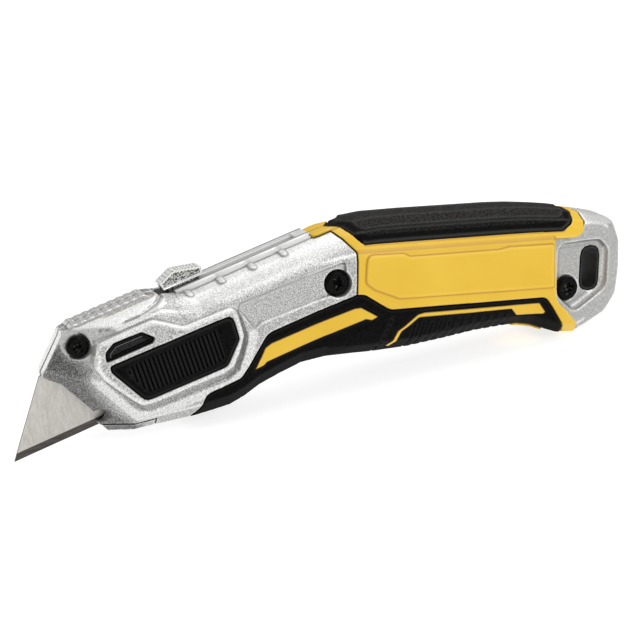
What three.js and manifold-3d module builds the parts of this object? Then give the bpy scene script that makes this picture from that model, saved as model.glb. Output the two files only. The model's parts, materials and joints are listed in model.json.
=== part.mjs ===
// Retractable utility knife. Two die-cast front halves guide a blade carrier under a slotted
// track, a two-colour handle is bolted round their tail, and two castings close the butt.
// Millimetres. The front frame has +X from the nose to the butt along the blade's cutting edge,
// +Y to the knife's right and +Z up, square to that edge. The handle has a frame of its own,
// which starts at the middle screw and drops towards the butt. At the end the whole knife is
// turned to stand on blade tip and heel, and moved so that the origin is under its middle.
import * as THREE from 'three';
import { mergeVertices } from 'three/addons/utils/BufferGeometryUtils.js';
import Module from 'manifold-3d';

const wasm = await Module();
wasm.setup();

// ---------------------------------------------------------------- driving dimensions

const noseTilt = 11.2;            // degrees between the blade's edge and the ground
const handleBend = 19;            // degrees that the handle drops below the blade's line
const knee = { x: 69, z: 18.4 };  // where the handle's own axes start
const seam = 0.3;                 // gap between pieces that lie side by side
const running = 0.3;              // gap round a piece that moves

const blade = { length: 61, height: 19, thickness: 0.6, endAngle: 53.6, grind: 2, backX: 34.6, edgeZ: 5.1 };
blade.notchWidth = 3;
blade.notchDepth = 2.4;
blade.notchSpacing = 11.2;
blade.tipX = blade.backX - blade.length;
blade.topZ = blade.edgeZ + blade.height;
blade.rearNotch = blade.tipX + blade.length / 2 + blade.notchSpacing / 2;
blade.halfThickness = blade.thickness / 2;

const carrier = { plate: 2.2, halfWidth: 2.9, barHeight: 4.2 };
carrier.from = blade.rearNotch - 4.1;
carrier.to = blade.backX + 3;
carrier.foot = blade.topZ + running;
carrier.top = carrier.foot + carrier.barHeight;

const track = { from: 28.4, thickness: 2, halfWidth: 3.7, slot: 2.4, bridge: 2.2 };
const stop = { first: 31.2, pitch: 9.3, count: 4, tabLength: 3.2, tabRadius: 0.9 };
const travel = stop.pitch * (stop.count - 1);
const cavity = { halfWidth: 3.4, from: carrier.from - 0.8, to: carrier.to + travel + 1,
  noseHalfWidth: 0.8 };
track.base = carrier.top + running + 1;
track.top = track.base + track.thickness;
track.shoulder = track.base + 0.5;
track.to = cavity.to + 0.7;

const spine = { halfWidth: 3.7, top: track.shoulder + 3.3, ribRadius: 2.2, ribRise: 0.75, ribPitch: 2.4,
  ribCount: 9 };
const slider = { from: 25.5, to: 37.7, halfWidth: 2, rise: 0.7, toothPitch: 1.15, press: 0.5 };
slider.floor = track.top + slider.rise;
const stem = { from: 28.8, to: 36.4, halfWidth: 0.9, room: 2.6 };

const side = { nose: 11.2, front: 11.5, handle: 12.6, framePad: 12.1, panelFloor: 10.9, sidePanel: 13.1 };
const screwHeadHeight = 2;
const middleScrew = { x: 69.3, z: 18.1, headRadius: 3.45, shankRadius: 1.6, headTop: 11.4, depth: 8.5 };
const noseScrew = { x: -1.4, z: 29.55, headRadius: 3, shankRadius: 1.5, headTop: 7.3, depth: 6 };
const tailScrew = { x: 73.7, z: -8.1, headRadius: 3.5, shankRadius: 1.6, headTop: 8, depth: 6 };

const button = { travel: 2, top: 11.3, cap: 1.7, plungerRadius: 1.2, pocketFloor: 6.2, x: 10.4, z: 26.15 };
const coil = { wireRadius: 0.19, turns: 2, rise: 0.8 };
const gripInsert = { thickness: 2.8, proud: 0.1, ribPitch: 1.18, ribCount: 22, ribWidth: 0.5,
  ribDepth: 0.5 };

const magazine = { floor: -16.6, spareX: 6.3, spareCount: 3, sparePitch: 0.9, slotHalf: 1.6,
  halfWidth: 4.4 };
magazine.spareZ = magazine.floor + 0.4;
magazine.spareEnd = magazine.spareX + blade.length;
magazine.from = magazine.spareX + 1.9;
magazine.to = magazine.spareEnd - 1.3;
magazine.top = -1.2;
const hinge = { x: magazine.from + 2.8, z: -18.6, pinRadius: 1, pinHalf: 8 };
const tab = { length: 10, halfWidth: 6.3 };

const tongue = { from: -4.8, to: 20, floor: 10.2, halfWidth: 4.3 };
const topPad = { thickness: 2.4, raise: 0.5, border: 2.3, foot: 9.4 };
const crease = { z: 7.9, width: 0.45, depth: 0.35 };
const accent = { thickness: 1.1, proud: 0.15 };
const groove = { width: 0.6, depth: 0.7, pitch: 2.7, count: 12 };
const tail = { halfWidth: 9.6, rounding: 2.6, taper: 0.006, recessFloor: 6.5, recessSlope: 1.8,
  linerHalf: 2.4 };
const lanyardSlot = { x: 81.3, z: -2.8, width: 4.8, height: 11.7, wall: 0.45 };

// ---------------------------------------------------------------- outlines and solids

const views = {
  side: new THREE.Matrix4().makeBasis(
    new THREE.Vector3(1, 0, 0), new THREE.Vector3(0, 0, 1), new THREE.Vector3(0, -1, 0)),
  plan: new THREE.Matrix4(),
  section: new THREE.Matrix4().makeBasis(
    new THREE.Vector3(0, 1, 0), new THREE.Vector3(0, 0, 1), new THREE.Vector3(1, 0, 0)),
};

// Closed outline through [a, b, radius] corners, each rounded by its radius.
function outline(corners) {
  const shape = new THREE.Shape();
  const at = (i) => new THREE.Vector2(corners[i][0], corners[i][1]);
  corners.forEach(([a, b, radius = 0], i) => {
    const here = new THREE.Vector2(a, b);
    const back = at((i + corners.length - 1) % corners.length).sub(here);
    const ahead = at((i + 1) % corners.length).sub(here);
    const half = back.angleTo(ahead) / 2;
    const limit = 0.48 * Math.min(back.length(), ahead.length());
    const reach = Math.min(radius / Math.tan(half), limit);
    const start = here.clone().add(back.setLength(reach));
    const end = here.clone().add(ahead.setLength(reach));
    if (i === 0) shape.moveTo(start.x, start.y);
    else shape.lineTo(start.x, start.y);
    if (reach > 0) shape.quadraticCurveTo(here.x, here.y, end.x, end.y);
  });
  return shape;
}

// The outline's corners moved in by a distance on every side, or out if it is negative.
function inset(corners, distance) {
  const turn = Math.sign(corners.reduce((sum, [a, b], i) => {
    const [c, d] = corners[(i + 1) % corners.length];
    return sum + a * d - c * b;
  }, 0));
  const normal = (from, to) => {
    const along = new THREE.Vector2(to[0] - from[0], to[1] - from[1]).normalize();
    return new THREE.Vector2(-along.y, along.x).multiplyScalar(turn);
  };
  return corners.map((corner, i) => {
    const before = normal(corners[(i + corners.length - 1) % corners.length], corner);
    const after = normal(corner, corners[(i + 1) % corners.length]);
    const move = before.clone().add(after).multiplyScalar(distance / (1 + before.dot(after)));
    return [corner[0] + move.x, corner[1] + move.y, corner[2] ?? 0];
  });
}

// Outline given a thickness along its view's third axis, from one height to the other.
function prism(corners, view, from, to, bevel = 0) {
  const shape = corners.isShape ? corners : outline(corners);
  const geometry = new THREE.ExtrudeGeometry(shape, {
    depth: to - from - 2 * bevel, curveSegments: 3, bevelEnabled: bevel > 0,
    bevelThickness: bevel, bevelSize: bevel, bevelOffset: -bevel, bevelSegments: 2,
  });
  geometry.translate(0, 0, bevel + (view === 'side' ? -to : from));
  return solid(geometry.applyMatrix4(views[view]));
}

function box(x, y, z) {
  const geometry = new THREE.BoxGeometry(x[1] - x[0], y[1] - y[0], z[1] - z[0]);
  return solid(geometry.translate((x[0] + x[1]) / 2, (y[0] + y[1]) / 2, (z[0] + z[1]) / 2));
}

// Round bar along Y between two depths.
function rod(x, z, radius, from, to, segments = 20) {
  const geometry = new THREE.CylinderGeometry(radius, radius, to - from, segments);
  return solid(geometry.translate(x, (from + to) / 2, z));
}

function solid(geometry) {
  const bare = geometry.clone();
  bare.deleteAttribute('normal');
  bare.deleteAttribute('uv');
  const merged = mergeVertices(bare, 1e-4);
  return new wasm.Manifold(new wasm.Mesh({
    numProp: 3,
    vertProperties: merged.attributes.position.array,
    triVerts: new Uint32Array(merged.index.array),
  }));
}

function geometryOf(body) {
  const mesh = body.getMesh();
  const geometry = new THREE.BufferGeometry();
  geometry.setAttribute('position', new THREE.BufferAttribute(mesh.vertProperties, 3));
  geometry.setIndex(new THREE.BufferAttribute(mesh.triVerts, 1));
  return geometry;
}

const join = (...parts) => parts.reduce((all, part) => all.add(part));
const cut = (body, ...tools) => tools.reduce((rest, tool) => rest.subtract(tool), body);
const common = (...parts) => parts.reduce((all, part) => all.intersect(part));
const moved = (body, matrix) => solid(geometryOf(body).applyMatrix4(matrix));

// The same solid on the knife's other side.
function mirrored(body) {
  const geometry = geometryOf(body).scale(1, -1, 1);
  const index = geometry.index.array;
  for (let i = 0; i < index.length; i += 3) [index[i], index[i + 1]] = [index[i + 1], index[i]];
  return solid(geometry);
}

// Everything on the far side of a plane, to be cut away.
function beyond(point, normal, size = 120) {
  const turn = new THREE.Quaternion().setFromUnitVectors(new THREE.Vector3(0, 0, 1), normal);
  const geometry = new THREE.BoxGeometry(size, size, size).translate(0, 0, size / 2);
  return solid(geometry.applyQuaternion(turn).translate(point.x, point.y, point.z));
}

// ---------------------------------------------------------------- frames

const rad = THREE.MathUtils.degToRad;
const handleToFront = new THREE.Matrix4().makeTranslation(knee.x, 0, knee.z)
  .multiply(new THREE.Matrix4().makeRotationY(rad(handleBend)));
const frontToHandle = handleToFront.clone().invert();

// A corner given in the handle's frame, in the front frame.
function fromHandle([x, z, radius = 0]) {
  const point = new THREE.Vector3(x, 0, z).applyMatrix4(handleToFront);
  return [point.x, point.z, radius];
}

// ---------------------------------------------------------------- the body's skin

// Half sections [y, z] from the spine's middle to the belly's middle.
const noseSection = (belly) => [
  [0, spine.top], [spine.halfWidth, spine.top], [6.4, spine.top - 0.9], [9.1, spine.top - 2],
  [10, spine.top - 3.1], [10.6, spine.top - 5.3], [11.1, spine.top - 9.7], [side.nose, belly + 14],
  [11, belly + 8.5], [10.1, belly + 4], [7, belly + 0.6], [0, belly],
];
const trackSection = (belly) => [
  [0, track.shoulder], [4.1, track.shoulder], [7.4, track.shoulder - 0.8], [9.4, track.shoulder - 2.5],
  [10.4, track.shoulder - 4.2], [10.9, track.shoulder - 5.8], [11.3, track.shoulder - 8.4],
  [side.front, belly + 16], [11.4, belly + 9], [10.5, belly + 4.2], [7, belly + 0.6], [0, belly],
];
const handleSection = (belly, drop) => [
  [0, 16.2 - drop], [4.6, 15.7 - drop], [8.4, 13.4 - 0.8 * drop], [10.4, 10.5 - 0.4 * drop], [12, 7.9],
  [12.5, 5.6], [side.handle, 2.2], [side.handle, -7], [12.5, belly + 8], [11, belly + 3.8],
  [7, belly + 0.5], [0, belly],
];

// Stations along the knife, each with the height of the belly there. The handle's add how far
// the top drops.
const noseStations = [[-20, 3], [0, 2.8], [10, 0.7], [21.5, -1.8]];
const shoulderStation = [26.5, -2.5];
const trackStations = [[31.5, -3.1], [36, -2.6], [41, -1.4], [47, -0.9], [54, -0.6], [61, -1.9]];
const handleStations = [[7, -21.6, 1], [13, -21.6, 0.2], [24, -21.1, 0], [34, -19.9, 0], [44, -18.5, 0],
  [52, -17.9, 0], [58, -17.5, 0.2], [62, -18.2, 0.5], [66.5, -19.8, 0.9], [71, -21.3, 1.4],
  [80, -21.6, 2.6], [86, -21.6, 3.8], [95, -21.6, 5.6]];

// Half section moved out along its normals, or in if the offset is negative.
function grown(section, offset) {
  return section.map(([y, z], i) => {
    const before = section[Math.max(i - 1, 0)];
    const after = section[Math.min(i + 1, section.length - 1)];
    const along = new THREE.Vector2(after[0] - before[0], after[1] - before[1]).normalize();
    return [y === 0 ? 0 : y - along.y * offset, z + along.x * offset];
  });
}

const skins = new Map();
function skin(offset = 0) {
  if (skins.has(offset)) return skins.get(offset);
  const blend = (one, two) => one.map(([y, z], i) => [(y + two[i][0]) / 2, (z + two[i][1]) / 2]);
  const rings = [];
  const ring = (x, section, matrix) => {
    const half = grown(section, offset);
    const loop = [...half, ...half.slice(1, -1).reverse().map(([y, z]) => [-y, z])];
    rings.push(loop.map(([y, z]) => new THREE.Vector3(x, y, z).applyMatrix4(matrix)));
  };
  const front = new THREE.Matrix4();
  noseStations.forEach(([x, belly]) => ring(x, noseSection(belly), front));
  const [middle, middleBelly] = shoulderStation;
  ring(middle, blend(noseSection(middleBelly), trackSection(middleBelly)), front);
  trackStations.forEach(([x, belly]) => ring(x, trackSection(belly), front));
  handleStations.forEach(([x, belly, drop]) => ring(x, handleSection(belly, drop), handleToFront));
  skins.set(offset, loft(rings));
  return skins.get(offset);
}

// Closed surface through rings of equally many points, with a fan on each end.
function loft(rings) {
  const size = rings[0].length;
  const points = rings.flat();
  const faces = [];
  for (let r = 0; r + 1 < rings.length; r++) {
    for (let i = 0; i < size; i++) {
      const j = (i + 1) % size;
      const [a, b, c, d] = [r * size + i, r * size + j, (r + 1) * size + j, (r + 1) * size + i];
      faces.push(a, c, b, a, d, c);
    }
  }
  for (const [first, flip] of [[0, true], [(rings.length - 1) * size, false]]) {
    const middle = new THREE.Vector3();
    for (let i = 0; i < size; i++) middle.addScaledVector(points[first + i], 1 / size);
    points.push(middle);
    for (let i = 0; i < size; i++) {
      const edge = [first + i, first + ((i + 1) % size)];
      faces.push(points.length - 1, ...(flip ? edge : edge.reverse()));
    }
  }
  const geometry = new THREE.BufferGeometry().setFromPoints(points);
  geometry.setIndex(faces);
  return solid(geometry);
}

// Part of the skin inside a side-view outline, between two offsets from its surface.
function layer(corners, top, bottom) {
  return cut(common(prism(corners, 'side', -30, 30), skin(top)), skin(bottom));
}

const leftHalf = box([-60, 200], [-40, -seam / 2], [-120, 120]);

// ---------------------------------------------------------------- regions of the side view

const noseEdge = { faceFoot: [-11.9, 25.2], faceTop: [-3.6, 33.3], underTop: [-8.4, 20.5],
  underFoot: [-2.7, 9.3] };
const metalToRubber = [[19.6, -1.2, 0], [23, 0.8, 3], [25.8, 4.2, 3], [36, 4.4, 4], [46.5, 13.05, 4]];
const metalToShell = [[5.7, -3.7], [5.7, 7.9, 2], [2.9, 11, 1], [-0.8, 14.3], [-4.5, 18]].map(fromHandle);
const shellToRubber = [[5.7, -3.7], [7.8, -3.8, 2], [15.5, -8.6, 4], [64, -9, 2.5],
  [71.1, -18.3, 2], [72.9, -21.6]].map(fromHandle);
const shellToTail = [[77, -21.2], [76.7, -19.2, 1], [75.3, -17.4, 3], [67.7, -10, 3], [66.5, 7.5],
  [71.6, 7.4, 2], [74.5, 7.8, 2], [76.6, 9, 2.5], [77.6, 11.4, 2.5], [78, 14.6]].map(fromHandle);
const half = seam / 2;

const metalRegion = inset([
  [...noseEdge.faceTop, 2.6], [...noseEdge.faceFoot, 0.8], [-12.1, 23.9, 0.7], [-10.8, 22.4, 0.8],
  [...noseEdge.underTop, 1.2], [...noseEdge.underFoot, 1.4], [-2.9, 6.4, 0.8], [-0.9, 2.9, 0.8],
  [0.5, -20], [18, -20], ...metalToRubber, ...metalToShell, [40, 60], [-4, 60],
], half);
const rubberRegion = inset([
  [18, -20], ...metalToRubber, ...shellToRubber, fromHandle([74, -45]), [60, -40],
], half);
const shellRegion = inset([
  ...shellToRubber, fromHandle([75, -45]), fromHandle([77.5, -45]), ...shellToTail, fromHandle([76, 40]),
  [60, 60], ...metalToShell.slice(1).reverse(),
], half);
const buttEdge = [[83.4, 13.5, 4], [88.4, 10.8, 5], [90.8, 5.2, 5], [91.2, -3, 6],
  [90.5, -10.8, 5], [86.8, -16.2, 5], [80, -19.5, 4]].map(fromHandle);
const tailRegion = inset([...shellToTail, fromHandle([100, 30]), fromHandle([100, -40])], half);
const tailOutline = [fromHandle([60, 14.6]), fromHandle([78, 14.4]), ...buttEdge,
  fromHandle([73, -22.5]), fromHandle([60, -23])];

// ---------------------------------------------------------------- hollows

const mirroredBox = (x, y, z) => box(x, [-y, y], z);
const bladeSlot = mirroredBox([-40, cavity.from + 1], cavity.noseHalfWidth,
  [blade.edgeZ - 0.7, blade.topZ + 0.8]);
const carrierHollow = mirroredBox([cavity.from, cavity.to], cavity.halfWidth,
  [blade.edgeZ - 0.7, carrier.top + running]);
const stemHollow = join(
  mirroredBox([cavity.from, cavity.to], stem.room, [carrier.top, track.base]),
  mirroredBox([track.from, cavity.to], stem.room, [carrier.top, track.top + 5]),
);
const tonguePrism = (gap) => {
  const y = tongue.halfWidth + gap;
  const plan = [[tongue.from - gap, -y, 2.5 + gap], [tongue.to, -y], [tongue.to, y],
    [tongue.from - gap, y, 2.5 + gap]];
  return moved(prism(plan, 'plan', tongue.floor - gap, 30), handleToFront);
};
const tongueRoom = tonguePrism(seam);
const trackPocket = mirroredBox([track.from - running, track.to + 1.6], track.halfWidth + seam,
  [track.base - seam, track.top + 15]);
const trackMouth = mirroredBox([24.4, track.from], track.halfWidth - 0.55, [carrier.top, track.top + 15]);

// The magazine's hollow: a thin one for the spare blades, and a wide one for the tray. Both are
// open below, where the tray swings out.
const endRun = blade.height / Math.tan(rad(blade.endAngle));
const spareTop = magazine.spareZ + blade.height;
const spareHollow = [[magazine.spareX - 0.4, magazine.floor - 0.2],
  [magazine.spareX + endRun - 0.3, spareTop + 0.6],
  [magazine.spareEnd - endRun + 0.3, spareTop + 0.6], [magazine.spareEnd + 0.5, magazine.floor + 0.6],
  [magazine.spareEnd + 0.5, -40], [magazine.from + 0.8, -40], [magazine.from + 0.8, magazine.floor - 0.2]];
const trayHollow = [[magazine.from - running, -40], [magazine.from - running, -15],
  [magazine.from + 0.5, magazine.top + seam], [magazine.to + running, magazine.top + seam],
  [magazine.to + running, -40]];
const magazineHollow = join(
  prism(spareHollow.map(fromHandle), 'side', -magazine.slotHalf - running, magazine.slotHalf + running),
  prism(trayHollow.map(fromHandle), 'side', -magazine.halfWidth - running, magazine.halfWidth + running),
);

// The tab's upper side, and a room under it that is larger by a gap.
const tabEnd = magazine.to + 0.5;
const tabTop = [[tabEnd - tab.length, -16.9], [tabEnd - 3.6, -17.2], [tabEnd, -18.2]];
const tabOutline = [...tabTop, [tabEnd, -20, 0.5], [tabEnd - 3.7, -18.7, 1], [tabEnd - 8, -17.9, 1],
  [tabEnd - tab.length, -17.9, 0.4]].map(fromHandle);
const underTab = (gap, halfWidth) => {
  const [front, bend, back] = tabTop.map(([x, z]) => [x, z + gap]);
  const room = [[front[0] - gap, front[1]], bend, [back[0] + gap, back[1]], [back[0] + gap, -30],
    [front[0] - gap, -30]];
  return prism(room.map(fromHandle), 'side', -halfWidth, halfWidth);
};

// ---------------------------------------------------------------- materials and assembly helpers

const paint = (name, color, roughness, metalness) =>
  new THREE.MeshStandardMaterial({ name, color, roughness, metalness });
const castMetal = paint('cast_metal', 0xc6c6c2, 0.45, 0.7);
const yellowShell = paint('yellow_shell', 0xf0bb2e, 0.4, 0);
const blackRubber = paint('black_rubber', 0x1c1c1c, 0.8, 0);
const blackPlastic = paint('black_plastic', 0x151515, 0.5, 0);
const bladeSteel = paint('blade_steel', 0xb4b0a8, 0.35, 0.9);
const springSteel = paint('spring_steel', 0x9a9a98, 0.35, 0.9);
const darkScrew = paint('dark_screw', 0x121212, 0.4, 0.6);
const plated = paint('plated_metal', 0xcfcfca, 0.25, 0.95);

const knife = new THREE.Group();
knife.name = 'utility_knife';
const groups = Object.fromEntries(['nose', 'blade_system', 'handle', 'magazine', 'butt'].map((name) => {
  const group = new THREE.Group();
  group.name = `${name}_group`;
  knife.add(group);
  return [name, group];
}));

function place(group, name, body, material) {
  const flat = geometryOf(body).toNonIndexed();
  flat.computeVertexNormals();
  const mesh = new THREE.Mesh(flat, material);
  mesh.name = name;
  groups[group].add(mesh);
}

// A left-hand piece and its twin on the knife's right side.
function pair(group, name, body, material) {
  place(group, `${name}_left`, body, material);
  place(group, `${name}_right`, mirrored(body), material);
}

// ---------------------------------------------------------------- screws

// Button-headed screw driven in from the left, with a six-lobed socket.
function screw({ x, z, headRadius, shankRadius, headTop, depth }) {
  const crown = 0.6;
  const seat = screwHeadHeight - headTop;
  const profile = [[0, -headTop], [headRadius - crown, -headTop], [headRadius, crown - headTop],
    [headRadius, seat], [shankRadius, seat], [shankRadius, depth - 0.8], [shankRadius - 0.7, depth],
    [0, depth]];
  const turned = new THREE.LatheGeometry(profile.map(([r, y]) => new THREE.Vector2(r, y)), 24);
  const lobes = [];
  for (let i = 0; i < 12; i++) {
    const radius = headRadius * (i % 2 ? 0.3 : 0.48);
    lobes.push([x + radius * Math.cos(i * Math.PI / 6), z + radius * Math.sin(i * Math.PI / 6)]);
  }
  return cut(solid(turned.translate(x, 0, z)), prism(lobes, 'side', -headTop - 1, 1.6 - headTop));
}

// What a screw needs: room above the head's seat, and room round the shank.
const headRoom = ({ x, z, headRadius, headTop }) =>
  rod(x, z, headRadius + seam, -30, screwHeadHeight - headTop, 24);
const shankRoom = ({ x, z, shankRadius, depth }) => rod(x, z, shankRadius + seam, -30, depth + seam, 16);

const [tailScrewX, tailScrewZ] = fromHandle([tailScrew.x, tailScrew.z]);
const tailScrewPlaced = { ...tailScrew, x: tailScrewX, z: tailScrewZ };

place('nose', 'nose_screw', screw(noseScrew), darkScrew);
place('nose', 'middle_screw', screw(middleScrew), darkScrew);
place('butt', 'tail_screw', screw(tailScrewPlaced), darkScrew);

// ---------------------------------------------------------------- front castings

const alongEdge = (foot, top) => new THREE.Vector2(...top).sub(new THREE.Vector2(...foot)).normalize();
const face = alongEdge(noseEdge.faceFoot, noseEdge.faceTop);
const under = alongEdge(noseEdge.underTop, noseEdge.underFoot);
const facet = (foot, y, outward, slope) => beyond(
  new THREE.Vector3(foot[0], -y, foot[1]),
  new THREE.Vector3(outward.x * Math.sin(rad(slope)), -Math.cos(rad(slope)),
    outward.y * Math.sin(rad(slope))),
);
const noseFacets = join(
  facet(noseEdge.faceFoot, 3.1, new THREE.Vector2(-face.y, face.x), 33),
  facet(noseEdge.underTop, 3.2, new THREE.Vector2(under.y, -under.x), 49),
);

const framePad = [[0.2, 21.4, 2], [-0.3, 24.5, 2], [2.2, 29.7, 2.5], [18.5, 29.8, 3], [26, 24.6, 3],
  [40.3, 24.2, 2], [40.2, 15.3, 2.5], [34.5, 6.7, 3], [9, 7.3, 3]];
const buttonWindow = [[3.3, 24.2, 0.8], [3.9, 26.7, 1], [6.6, 28.2, 1], [14.4, 28, 1.2], [17.2, 25.2, 1],
  [16.4, 24.2, 0.8]];
const insertOutline = [[3.8, 22.8, 2], [38.6, 22.2, 2], [38.4, 15.4, 1.5], [33, 9.8, 2.5], [9.6, 10.3, 2.5],
  [3.8, 21.1, 1.5]];
const plainPanel = [[40.9, 22.9, 1], [42, 24, 1], [73.2, 23.1, 1], [72, 19.2, 3], [67.5, 15.9, 2],
  [45.8, 16.8, 1], [43.4, 15.9, 1]];
const shoulderGroove = [[3.5, -2.2], [8, -2.1], [15, -2], [18, -1.7], [21, -1.2], [24.5, -0.7],
  [24.5, -1.5], [21, -2], [18, -2.4], [15, -2.6], [8, -2.5], [3.5, -2.4]].map(([x, z]) => [x, spine.top + z]);
const lipOutline = [[-1.6, 5.2], [3.6, 4.4], [10.9, 3.3], [10.2, 0.4], [10.2, -6], [-1.6, -6]];
const insertSeat = gripInsert.thickness - gripInsert.proud;

const ribs = [];
for (let i = 0; i < spine.ribCount; i++) {
  const crest = spine.top + spine.ribRise - spine.ribRadius;
  ribs.push(rod(0.3 + i * spine.ribPitch, crest, spine.ribRadius, -spine.halfWidth, spine.halfWidth, 14));
}
const stopTabs = [];
for (let i = 0; i < stop.count; i++) {
  const u = stop.first + i * stop.pitch;
  const reach = -track.halfWidth - seam;
  const tab = [[u - stop.tabRadius, reach], [u + stop.tabRadius, reach],
    [u + stop.tabRadius, reach - stop.tabLength, stop.tabRadius],
    [u - stop.tabRadius, reach - stop.tabLength, stop.tabRadius]];
  stopTabs.push(common(prism(tab, 'plan', 25, 40), skin(0.45)));
}

const metalBody = cut(common(skin(), prism(metalRegion, 'side', -30, 30)), noseFacets);
const metalHollows = join(bladeSlot, carrierHollow, stemHollow, trackPocket, trackMouth, magazineHollow);
const frontShell = cut(
  common(join(metalBody, ...ribs, prism(framePad, 'side', -side.framePad, -side.nose + 3, 0.7),
    ...stopTabs), leftHalf),
  metalHollows,
  tongueRoom,
  cut(prism(shoulderGroove, 'side', -20, 0), skin(-0.6)),
  prism(plainPanel, 'side', -20, -side.panelFloor),
  rod(-1.7, 8.6, 2, -20, 0),
);
const noseShanks = join(shankRoom(noseScrew), shankRoom(middleScrew));
const noseHeads = join(headRoom(noseScrew), headRoom(middleScrew));
const buttonPocket = join(
  prism(inset(buttonWindow, -running / 2), 'side', -20, -button.pocketFloor),
  rod(button.x, button.z, button.plungerRadius + running, -button.pocketFloor - 1, 0),
);
const insertPocket = prism(inset(insertOutline, -seam / 2), 'side', -20, insertSeat - side.framePad);
const lip = cut(common(metalBody, prism(lipOutline, 'side', -20, 1)), metalHollows);
const lipRoom = common(prism(inset(lipOutline, -seam), 'side', -20, 1), leftHalf);

place('nose', 'front_shell_left',
  cut(frontShell, insertPocket, buttonPocket, lipRoom, noseShanks, noseHeads), castMetal);
place('nose', 'front_shell_right',
  cut(join(mirrored(cut(frontShell, insertPocket)), lip), noseShanks), castMetal);

// ---------------------------------------------------------------- grip inserts and release button

const insertBody = prism(inset(insertOutline, seam / 2), 'side', -side.framePad - gripInsert.proud,
  -side.framePad + insertSeat, 0.3);
const insertGrooves = [];
for (let i = 0; i < gripInsert.ribCount; i++) {
  const u = 7.6 + i * gripInsert.ribPitch;
  insertGrooves.push(box([u, u + gripInsert.ribWidth], [-20, gripInsert.ribDepth - side.framePad],
    [0, 40]));
}
const ribbedField = prism(inset(insertOutline.slice(0, 5), 1.8), 'side', -20, 0);
pair('nose', 'side_grip', cut(insertBody, common(join(...insertGrooves), ribbedField)), blackRubber);

const buttonBack = button.cap - button.top;
const plungerEnd = 0.5 - button.pocketFloor;
place('nose', 'release_button', join(
  prism(inset(buttonWindow, running / 2), 'side', -button.top, buttonBack, 0.3),
  rod(button.x, button.z, button.plungerRadius, buttonBack - 0.5, plungerEnd),
), blackPlastic);

// Coil of two turns lying on the pocket's floor round the plunger.
const coilRings = [];
for (let i = 0; i <= 28; i++) {
  const angle = i / 28 * Math.PI * 2 * coil.turns;
  const out = new THREE.Vector3(Math.cos(angle), 0, Math.sin(angle));
  const depth = -button.pocketFloor - coil.wireRadius - 0.03 - coil.rise * (1 - i / 28);
  const middle = new THREE.Vector3(button.x, depth, button.z).addScaledVector(out,
    button.plungerRadius + 0.4);
  coilRings.push([0, 1, 2, 3, 4, 5].map((k) => {
    const turn = k * Math.PI / 3;
    return middle.clone().addScaledVector(out, coil.wireRadius * Math.cos(turn))
      .setY(depth - coil.wireRadius * Math.sin(turn));
  }));
}
place('nose', 'release_spring', loft(coilRings), springSteel);

// ---------------------------------------------------------------- track, slider, carrier and blade

const slotHalf = track.slot / 2;
const notches = [];
for (let i = 0; i < stop.count; i++) {
  for (const y of [-track.halfWidth - 0.3, track.halfWidth + 0.3]) {
    const notch = new THREE.CylinderGeometry(0.8, 0.8, 2, 12).rotateX(Math.PI / 2);
    notches.push(solid(notch.translate(stop.first + (i + 1) * stop.pitch - 0.4, y, track.top)));
  }
}
place('nose', 'slide_track', cut(
  prism([[-track.halfWidth, track.base], [track.halfWidth, track.base],
    [track.halfWidth, track.top, 0.5], [-track.halfWidth, track.top, 0.5]], 'section', track.from,
    track.to + 1.3),
  tongueRoom,
  mirroredBox([track.from - 1, track.to - track.bridge], slotHalf, [track.base - 1, track.top + 1]),
  mirroredBox([track.from - 1, track.to - track.bridge], slotHalf + 0.9, [track.top - 0.5, track.top + 1]),
  ...notches,
), castMetal);

const crown = slider.floor + 4.1;
const sliderOutline = [[slider.from, slider.floor], [slider.from, crown - 1.8, 0.4],
  [slider.from + 0.5, crown - 1.5, 0.5], [29.6, crown, 1], [30.8, crown - 0.2, 1],
  [slider.to - 0.5, crown - 1.9, 0.4], [slider.to, crown - 2.6, 0.4], [slider.to - 0.4, slider.floor]];
const teeth = [];
for (let u = slider.from + 0.9; u < slider.to - 0.8; u += slider.toothPitch) {
  const rise = u < 29.9 ? crown - 1.55 + (u - 26) * 0.4 : crown + 0.05 - (u - 30.2) * 0.27;
  teeth.push(rod(u, rise + 0.2, 0.42, -slider.halfWidth - 1, slider.halfWidth + 1, 8));
}
const sliderDish = prism(inset(sliderOutline, 0.8), 'side', -slider.halfWidth - 1, 0.4 - slider.halfWidth);
place('blade_system', 'thumb_slider', cut(
  prism(sliderOutline, 'side', -slider.halfWidth, slider.halfWidth),
  ...teeth, sliderDish, mirrored(sliderDish),
), plated);
place('blade_system', 'slider_stem',
  mirroredBox([stem.from, stem.to], stem.halfWidth, [carrier.top + slider.press + 0.2, slider.floor]),
    blackPlastic);

const plateInner = blade.halfThickness + running;
const plateFoot = blade.edgeZ + 2.9;
const lugHalf = blade.notchWidth / 2 - running;
place('blade_system', 'blade_carrier', join(
  mirroredBox([carrier.from, carrier.to], carrier.halfWidth, [carrier.foot, carrier.top]),
  box([carrier.from, carrier.to], [plateInner, plateInner + carrier.plate], [plateFoot, carrier.top]),
  mirroredBox([blade.backX + running, carrier.to], carrier.halfWidth, [plateFoot, carrier.top]),
  box([blade.rearNotch - lugHalf, blade.rearNotch + lugHalf], [-blade.halfThickness - 0.1, plateInner + 1],
    [blade.topZ - blade.notchDepth + running, carrier.top]),
), blackPlastic);

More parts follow.
